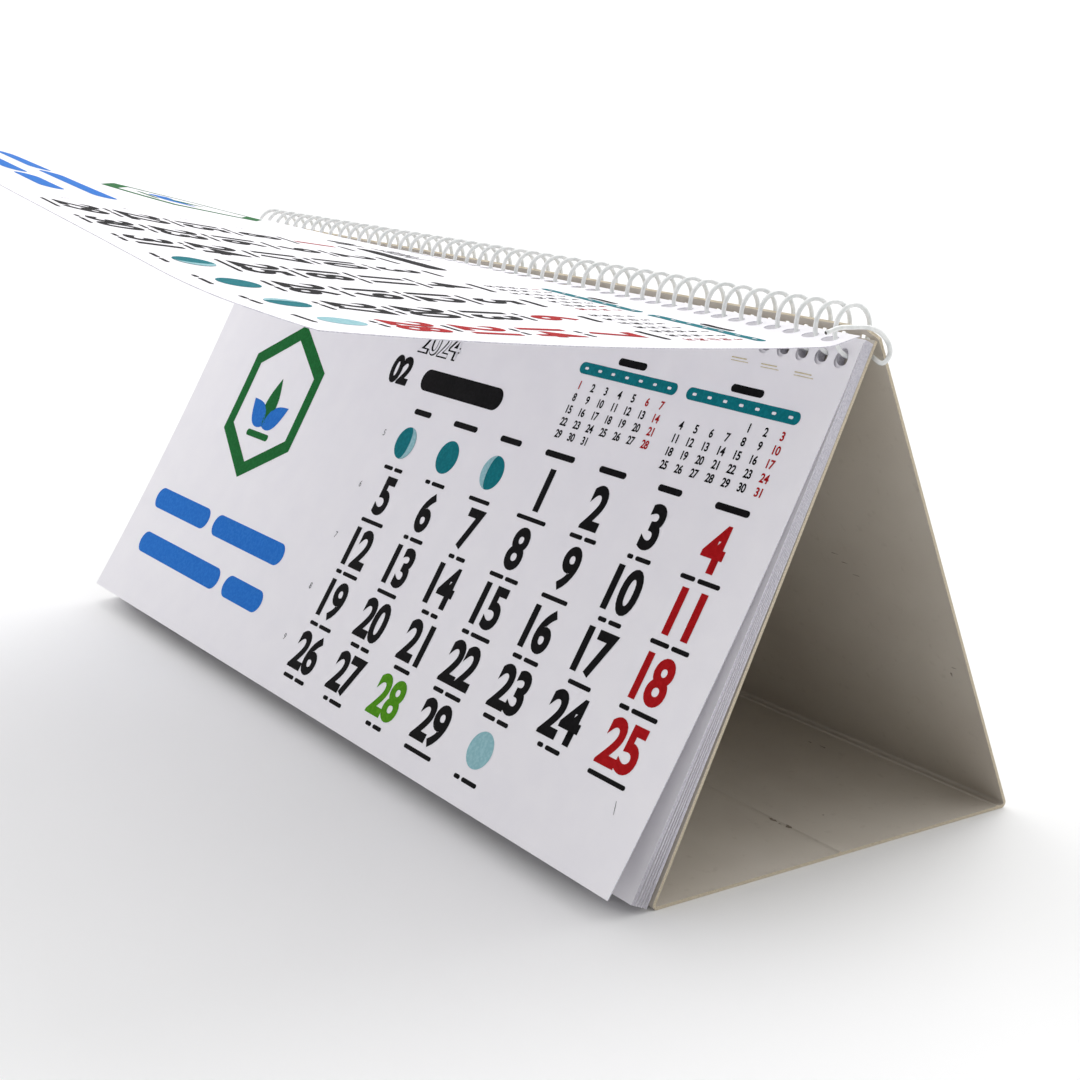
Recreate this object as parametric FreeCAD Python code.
"""Desk calendar: a folded card stand, a pile of leaves, two loose leaves and a spiral coil.

The frame has X along the coil, Y from front to back and Z up. The origin is the centre of
the base on the table. Lengths are in millimetres and angles in degrees.
"""
import FreeCAD
import Part

import math
import os

# Width of the card and of every leaf
CALENDAR_WIDTH = 295.0

# Card stand, one sheet folded into a base, a front panel and a back panel
CARD_THICKNESS = 0.8
BASE_DEPTH = 114.0
FOLD_RADIUS = 0.5
CARD_HOLE_MARGIN = 3.6
PANEL_GAP = 0.5
SCORE_WIDTH = 1.2
SCORE_HEIGHT = 0.35
MID_SCORE_OFFSET = -0.4
BACK_SCORE_INSET = 3.5
TORN_CORNER_WIDTH = 3.2
TORN_CORNER_HEIGHT = 2.6

# Leaves, all punched alike along their top edge
LEAF_HEIGHT = 134.3
LEAF_THICKNESS = 0.22
LEAF_HOLE_MARGIN = 4.8
LEAF_FLAT_STRIP = 9.0
HOLE_WIDTH = 4.0
HOLE_PITCH = 6.35
SIDE_MARGIN_LEAST = 4.4
SEAT = 0.1

# Pile of the leaves that lie against the front panel
PILE_LEAVES = 10
PILE_AIR = 0.04
PILE_EDGES = 6
PILE_BOUND = 24.0
PILE_LIFT = 1.2
PILE_FAN = 2.2

# Front leaf: lean away from the front panel of its punched strip and of its end
FRONT_STRIP_ANGLE = 1.8
FRONT_END_ANGLE = 7.3

# Lifted leaf: rise above level, in degrees, of its punched strip, past its bend and at its
# end, for both ends of the leaf and for the place between them where it sags
LIFTED_RIGHT = (-12.0, 2.5, 8.0)
LIFTED_SAG = (-6.0, 3.5, 7.7)
LIFTED_LEFT = (22.0, 15.0, 16.0)
LIFTED_SAG_SHARE = 0.82

# Spiral coil of coated wire
COIL_HEIGHT = 124.4
COIL_SETBACK = -1.9
COIL_DIAMETER = 12.8
WIRE_DIAMETER = 1.1
WIRE_REST = 0.3
LOOP_RUNS = 8
WIRE_SIDES = 5
CROSSING_START_ANGLE = 290.0
CROSSING_END_ANGLE = 320.0
TAIL_CLEARANCE = 0.9
TAIL_START_ANGLE = -65.0
TAIL_END_ANGLE = 100.0
TAIL_RUNS = 5
LEAD_END_ANGLE = 250.0

COIL_RADIUS = (COIL_DIAMETER - WIRE_DIAMETER) / 2
WIRE_RADIUS = WIRE_DIAMETER / 2
HOLE_RADIUS = HOLE_WIDTH / 2
HANG = HOLE_RADIUS - WIRE_RADIUS - WIRE_REST
PILE_THICKNESS = PILE_LEAVES * (LEAF_THICKNESS + PILE_AIR)
HOLE_SIDES = 6
HIDDEN_HOLE_SIDES = 4
CUT_SPARE = 0.1
FOLD_FACETS = 4
FULL_TURN = 360.0


def vector(x, point):
    """Place a point of the side view, given as (y, z), at the distance x along the coil."""
    return FreeCAD.Vector(x, point[0], point[1])


def step(point, direction, distance):
    """Walk from a point of the side view along a direction."""
    return (point[0] + direction[0] * distance, point[1] + direction[1] * distance)


def from_angle(degrees):
    """Unit direction of the side view, measured from the back towards the top."""
    turn = math.radians(degrees)
    return (math.cos(turn), math.sin(turn))


def left_of(direction):
    """Direction a quarter turn anticlockwise in the side view."""
    return (-direction[1], direction[0])


def line_past(start, target, offset):
    """Direction of the line from start that leaves the target at offset on its left."""
    across = target[0] - start[0]
    up = target[1] - start[1]
    reach = math.hypot(across, up)
    turn = math.atan2(up, across) - math.asin(offset / reach)
    return (math.cos(turn), math.sin(turn))


def meet(point_a, direction_a, point_b, direction_b):
    """Crossing of two lines of the side view."""
    det = direction_a[0] * direction_b[1] - direction_a[1] * direction_b[0]
    across = point_b[0] - point_a[0]
    up = point_b[1] - point_a[1]
    return step(point_a, direction_a, (across * direction_b[1] - up * direction_b[0]) / det)


AXIS = (COIL_SETBACK, COIL_HEIGHT)
FRONT_FOLD = (-(BASE_DEPTH - CARD_THICKNESS) / 2, CARD_THICKNESS / 2)
BACK_FOLD = ((BASE_DEPTH - CARD_THICKNESS) / 2, CARD_THICKNESS / 2)


def hole_positions():
    """Places of the punched holes along the coil, centred on the leaf."""
    spaces = int((CALENDAR_WIDTH - 2 * SIDE_MARGIN_LEAST) / HOLE_PITCH)
    first = -spaces * HOLE_PITCH / 2
    return [first + index * HOLE_PITCH for index in range(spaces + 1)]


def front_panel_line():
    """Middle plane of the front panel: direction up and its distance behind the coil axis."""
    behind = LEAF_THICKNESS / 2 + SEAT + PILE_THICKNESS + SEAT + CARD_THICKNESS / 2
    return line_past(FRONT_FOLD, AXIS, behind), behind


def below_axis(offset):
    """Distance from the axis level down to the wire, for a sheet at an offset from the axis."""
    return math.sqrt(COIL_RADIUS ** 2 - offset ** 2)


def rest_in_card(offset):
    """Rise of a hole in the card above the slanting wire that its lower rim rests on."""
    upright = below_axis(offset) / COIL_RADIUS
    slant = CARD_THICKNESS / 2 * offset / below_axis(offset)
    return HOLE_RADIUS - WIRE_RADIUS / upright - slant - WIRE_REST


def front_panel_top():
    """Top edge of the front panel and its hole, in the panel's middle plane."""
    up, behind = front_panel_line()
    foot = step(AXIS, left_of(up), -behind)
    hole = step(foot, up, -below_axis(behind) + rest_in_card(behind))
    return step(hole, up, CARD_HOLE_MARGIN), hole, up


def back_panel_top():
    """Top edge of the back panel and its hole, in the panel's middle plane."""
    top, _, front_up = front_panel_top()
    corner = step(top, left_of(front_up), -CARD_THICKNESS / 2)
    up = line_past(BACK_FOLD, corner, PANEL_GAP + CARD_THICKNESS / 2)
    across = (AXIS[0] - BACK_FOLD[0], AXIS[1] - BACK_FOLD[1])
    along = across[0] * up[0] + across[1] * up[1]
    foot = step(BACK_FOLD, up, along)
    behind = math.hypot(AXIS[0] - foot[0], AXIS[1] - foot[1])
    hole = step(foot, up, -below_axis(behind) + rest_in_card(behind))
    return step(hole, up, CARD_HOLE_MARGIN), hole, up


def corner_points(before, corner, after, radius):
    """Points that round one corner of the side view with a few flats."""
    into = unit(corner, before)
    away = unit(corner, after)
    half = math.acos(into[0] * away[0] + into[1] * away[1]) / 2
    middle = unit((0, 0), (into[0] + away[0], into[1] + away[1]))
    centre = step(corner, middle, radius / math.sin(half))
    start = unit(centre, step(corner, into, radius / math.tan(half)))
    end = unit(centre, step(corner, away, radius / math.tan(half)))
    first = math.atan2(start[1], start[0])
    sweep = math.remainder(math.atan2(end[1], end[0]) - first, 2 * math.pi)
    points = []
    for index in range(FOLD_FACETS + 1):
        turn = first + sweep * index / FOLD_FACETS
        points.append(step(centre, (math.cos(turn), math.sin(turn)), radius))
    return points


def rounded_outline(points, radii):
    """Closed face of the side view from corner points, each rounded by its own radius."""
    outline = []
    for index, corner in enumerate(points):
        if radii[index] == 0:
            outline.append(corner)
        else:
            after = points[(index + 1) % len(points)]
            outline += corner_points(points[index - 1], corner, after, radii[index])
    return flat_face(outline)


def flat_face(outline):
    """Face of the side view with straight edges between its points."""
    corners = [vector(0, point) for point in outline]
    return Part.Face(Part.makePolygon(corners + corners[:1]))


def unit(start, end):
    """Unit direction from one point of the side view to another."""
    reach = math.hypot(end[0] - start[0], end[1] - start[1])
    return ((end[0] - start[0]) / reach, (end[1] - start[1]) / reach)


def along_coil(face, width):
    """Solid with the same section all along the coil, centred on the origin."""
    face.translate(FreeCAD.Vector(-width / 2, 0, 0))
    return face.extrude(FreeCAD.Vector(width, 0, 0))


def punch(x, centre, normal, thickness, sides):
    """Cutter for one punched hole: a prism through a sheet, with flats above and below."""
    reach = thickness / 2 + CUT_SPARE
    across = FreeCAD.Vector(1, 0, 0)
    rise = vector(0, left_of(normal))
    middle = vector(x, step(centre, normal, -reach))
    corner_radius = HOLE_RADIUS / math.cos(math.pi / sides)
    corners = []
    for index in range(sides):
        turn = math.pi / 2 + math.pi / sides + 2 * math.pi * index / sides
        corners.append(middle + across * (corner_radius * math.cos(turn))
                       + rise * (corner_radius * math.sin(turn)))
    face = Part.Face(Part.makePolygon(corners + corners[:1]))
    return face.extrude(vector(0, normal) * (2 * reach))


def score_bead(y):
    """Raised bead that the pressed crease leaves on the upper side of the base."""
    level = CARD_THICKNESS
    profile = [(y - SCORE_WIDTH / 2, level / 2), (y - SCORE_WIDTH / 2, level),
               (y, level + SCORE_HEIGHT), (y + SCORE_WIDTH / 2, level),
               (y + SCORE_WIDTH / 2, level / 2)]
    return along_coil(flat_face(profile), CALENDAR_WIDTH)


def torn_corner(top, up):
    """Wedge that is missing from the top right corner of the back panel."""
    right = CALENDAR_WIDTH / 2
    spare = CARD_THICKNESS
    outside = step(top, left_of(up), CARD_THICKNESS)
    corners = [vector(right + spare, step(outside, up, spare)),
               vector(right - TORN_CORNER_WIDTH, step(outside, up, spare)),
               vector(right - TORN_CORNER_WIDTH, outside),
               vector(right, step(outside, up, -TORN_CORNER_HEIGHT)),
               vector(right + spare, step(outside, up, -TORN_CORNER_HEIGHT))]
    face = Part.Face(Part.makePolygon(corners + corners[:1]))
    return face.extrude(vector(0, left_of(up)) * (-2 * CARD_THICKNESS))


def card_stand():
    """Folded card: base, front panel and back panel in one sheet, punched for the coil."""
    half = CARD_THICKNESS / 2
    front_top, front_hole, front_up = front_panel_top()
    back_top, back_hole, back_up = back_panel_top()
    front_out = left_of(front_up)
    back_out = (-left_of(back_up)[0], -left_of(back_up)[1])
    level = (1.0, 0.0)
    outer_front = step(FRONT_FOLD, front_out, half)
    outer_back = step(BACK_FOLD, back_out, half)
    inner_front = step(FRONT_FOLD, front_out, -half)
    inner_back = step(BACK_FOLD, back_out, -half)
    points = [step(front_top, front_out, half),
              meet(outer_front, front_up, (0, 0), level),
              meet(outer_back, back_up, (0, 0), level),
              step(back_top, back_out, half),
              step(back_top, back_out, -half),
              meet(inner_back, back_up, (0, CARD_THICKNESS), level),
              meet(inner_front, front_up, (0, CARD_THICKNESS), level),
              step(front_top, front_out, -half)]
    outside_round = FOLD_RADIUS + CARD_THICKNESS
    radii = [0, outside_round, outside_round, 0, 0, FOLD_RADIUS, FOLD_RADIUS, 0]
    stand = along_coil(rounded_outline(points, radii), CALENDAR_WIDTH)
    stand = stand.fuse([score_bead(MID_SCORE_OFFSET), score_bead(BASE_DEPTH / 2 - BACK_SCORE_INSET)])
    cutters = []
    for x in hole_positions():
        cutters.append(punch(x, front_hole, front_out, CARD_THICKNESS, HIDDEN_HOLE_SIDES))
        cutters.append(punch(x, back_hole, back_out, CARD_THICKNESS, HOLE_SIDES))
    cutters.append(torn_corner(back_top, back_up))
    return stand.cut(cutters).removeSplitter()


def leaf_block():
    """Pile of leaves against the front panel, solid near the holes and fanned below them."""
    up, behind = front_panel_line()
    out = left_of(up)
    down = (-up[0], -up[1])
    back_face = -behind + CARD_THICKNESS / 2 + SEAT
    wire = below_axis(back_face)
    hole_depth = wire - WIRE_RADIUS * COIL_RADIUS / wire - WIRE_REST + HOLE_RADIUS
    top = hole_depth - LEAF_HOLE_MARGIN
    edge = PILE_THICKNESS / PILE_EDGES
    gap = PILE_FAN / (PILE_EDGES - 1)

    def at(depth, forward):
        return step(step(AXIS, down, depth), out, forward)

    corners = [at(top, back_face)]
    for index in range(PILE_EDGES):
        inner = back_face + index * edge
        spread = PILE_LIFT + index * gap
        root = top + PILE_BOUND
        bottom = top + LEAF_HEIGHT
        corners.append(at(root, inner))
        corners.append(at(bottom, inner + spread))
        corners.append(at(bottom, inner + edge + spread))
    corners.append(at(top + PILE_BOUND, back_face + PILE_THICKNESS))
    corners.append(at(top, back_face + PILE_THICKNESS))
    block = along_coil(flat_face(corners), CALENDAR_WIDTH)
    centre = at(hole_depth, back_face + PILE_THICKNESS / 2)
    return block.cut([punch(x, centre, out, PILE_THICKNESS, HIDDEN_HOLE_SIDES)
                      for x in hole_positions()])


def leaf_section(x, strip_angle, start_angle, end_angle):
    """Section of one loose leaf: its punched strip, a soft bend and a shallow arc to its end."""
    strip = from_angle(strip_angle)
    top = step(AXIS, strip, COIL_RADIUS + HANG - LEAF_HOLE_MARGIN)
    bound = step(top, strip, LEAF_FLAT_STRIP)
    length = LEAF_HEIGHT - LEAF_FLAT_STRIP
    bend = math.radians(end_angle - start_angle)
    chord = from_angle((start_angle + end_angle) / 2)
    reach = length * math.sin(bend / 2) / (bend / 2)
    middle = step(step(bound, chord, reach / 2), left_of(chord), -length * bend / 8)
    bottom = step(bound, chord, reach)
    mitre = math.cos(math.radians(start_angle - strip_angle) / 2)
    mitre_side = left_of(from_angle((strip_angle + start_angle) / 2))

    def side(offset):
        return [vector(x, step(top, left_of(strip), offset)),
                vector(x, step(bound, mitre_side, offset / mitre)),
                vector(x, step(middle, left_of(chord), offset)),
                vector(x, step(bottom, left_of(from_angle(end_angle)), offset))]

    upper = side(LEAF_THICKNESS / 2)
    lower = side(-LEAF_THICKNESS / 2)
    edges = [Part.LineSegment(upper[0], upper[1]).toShape(),
             Part.Arc(upper[1], upper[2], upper[3]).toShape(),
             Part.LineSegment(upper[3], lower[3]).toShape(),
             Part.Arc(lower[3], lower[2], lower[1]).toShape(),
             Part.LineSegment(lower[1], lower[0]).toShape(),
             Part.LineSegment(lower[0], upper[0]).toShape()]
    return Part.Wire(edges)


def punched_leaf(sections):
    """One loose leaf through sections given by their share of its width, with its holes."""
    half = CALENDAR_WIDTH / 2
    leaf = Part.makeLoft([leaf_section(-half + share * CALENDAR_WIDTH, *angles)
                          for share, angles in sections], True, True)
    cutters = []
    for x in hole_positions():
        direction = from_angle(strip_angle(sections, (x + half) / CALENDAR_WIDTH))
        centre = step(AXIS, direction, COIL_RADIUS + HANG)
        cutters.append(punch(x, centre, left_of(direction), LEAF_THICKNESS, HOLE_SIDES))
    return leaf.cut(cutters)


def strip_angle(sections, share):
    """Angle of a leaf's punched strip between the two sections on either side."""
    for (near, near_angles), (far, far_angles) in zip(sections, sections[1:]):
        if share <= far:
            between = (share - near) / (far - near)
            return near_angles[0] + (far_angles[0] - near_angles[0]) * between


def front_leaf():
    """Leaf that hangs in front of the pile and curls away from it."""
    up, _ = front_panel_line()
    hanging = math.degrees(math.atan2(-up[1], -up[0]))
    strip = hanging - FRONT_STRIP_ANGLE
    angles = (strip, strip, hanging - FRONT_END_ANGLE)
    return punched_leaf([(0, angles), (1, angles)])


def lifted_leaf():
    """Leaf that stands out about level from the coil, higher at its left end."""
    level = FULL_TURN / 2
    places = [(0, LIFTED_LEFT), (LIFTED_SAG_SHARE, LIFTED_SAG), (1, LIFTED_RIGHT)]
    return punched_leaf([(share, [level - rise for rise in rises]) for share, rises in places])


def loop_points(x, start_angle, end_angle, runs):
    """Corner points of a stretch of wire that turns about the coil axis in one plane."""
    radius = COIL_RADIUS / math.cos(math.radians(FULL_TURN / LOOP_RUNS / 4))
    points = []
    for index in range(runs + 1):
        angle = start_angle + (end_angle - start_angle) * index / runs
        points.append(vector(x, step(AXIS, from_angle(angle), radius)))
    return points


def coil_path():
    """Corner points of the whole wire, from its plain left end to its bent right end."""
    holes = hole_positions()
    path = []
    for index, x in enumerate(holes):
        start = LEAD_END_ANGLE if index == 0 else CROSSING_START_ANGLE
        path += loop_points(x, start, CROSSING_END_ANGLE - FULL_TURN, LOOP_RUNS)
    outside = CALENDAR_WIDTH / 2 + TAIL_CLEARANCE + WIRE_RADIUS
    path += loop_points(outside, TAIL_START_ANGLE, TAIL_END_ANGLE, TAIL_RUNS)
    return path


def first_ring(path):
    """Corners of the wire's flat end, square to its first run."""
    along = (path[1] - path[0]).normalize()
    across = FreeCAD.Vector(1, 0, 0)
    rise = along.cross(across)
    ring = []
    for index in range(WIRE_SIDES):
        turn = 2 * math.pi * (index + 0.5) / WIRE_SIDES
        ring.append(path[0] + across * (WIRE_RADIUS * math.cos(turn))
                    + rise * (WIRE_RADIUS * math.sin(turn)))
    return ring


def mitred_rings(path):
    """Rings of corners along the wire, one in the mitre plane of each bend."""
    rings = [first_ring(path)]
    for index in range(1, len(path)):
        before = (path[index] - path[index - 1]).normalize()
        last = index == len(path) - 1
        after = before if last else (path[index + 1] - path[index]).normalize()
        plane = (before + after).normalize()
        ring = []
        for corner in rings[-1]:
            distance = (path[index] - corner).dot(plane) / before.dot(plane)
            ring.append(corner + before * distance)
        rings.append(ring)
    return rings


def spiral_coil():
    """Coated wire wound through every hole, as straight facets mitred at each bend."""
    rings = mitred_rings(coil_path())
    faces = [Part.Face(Part.makePolygon(ring + ring[:1])) for ring in (rings[0], rings[-1])]
    for near, far in zip(rings, rings[1:]):
        for index in range(WIRE_SIDES):
            after = (index + 1) % WIRE_SIDES
            corners = [near[index], near[after], far[after], far[index]]
            faces.append(Part.Face(Part.makePolygon(corners + corners[:1])))
    shell = Part.makeShell(faces)
    solid = Part.makeSolid(shell)
    if solid.Volume < 0:
        solid.reverse()
    return solid


def main():
    """Build each piece and write it to its own file."""
    os.makedirs("parts", exist_ok=True)
    pieces = {
        "card_stand": card_stand,
        "leaf_block": leaf_block,
        "front_leaf": front_leaf,
        "lifted_leaf": lifted_leaf,
        "spiral_coil": spiral_coil,
    }
    for name, build in pieces.items():
        shape = build()
        print(name, shape.ShapeType, len(shape.Solids), shape.isValid(), round(shape.Volume, 1))
        shape.exportStep("parts/" + name + ".step")


main()
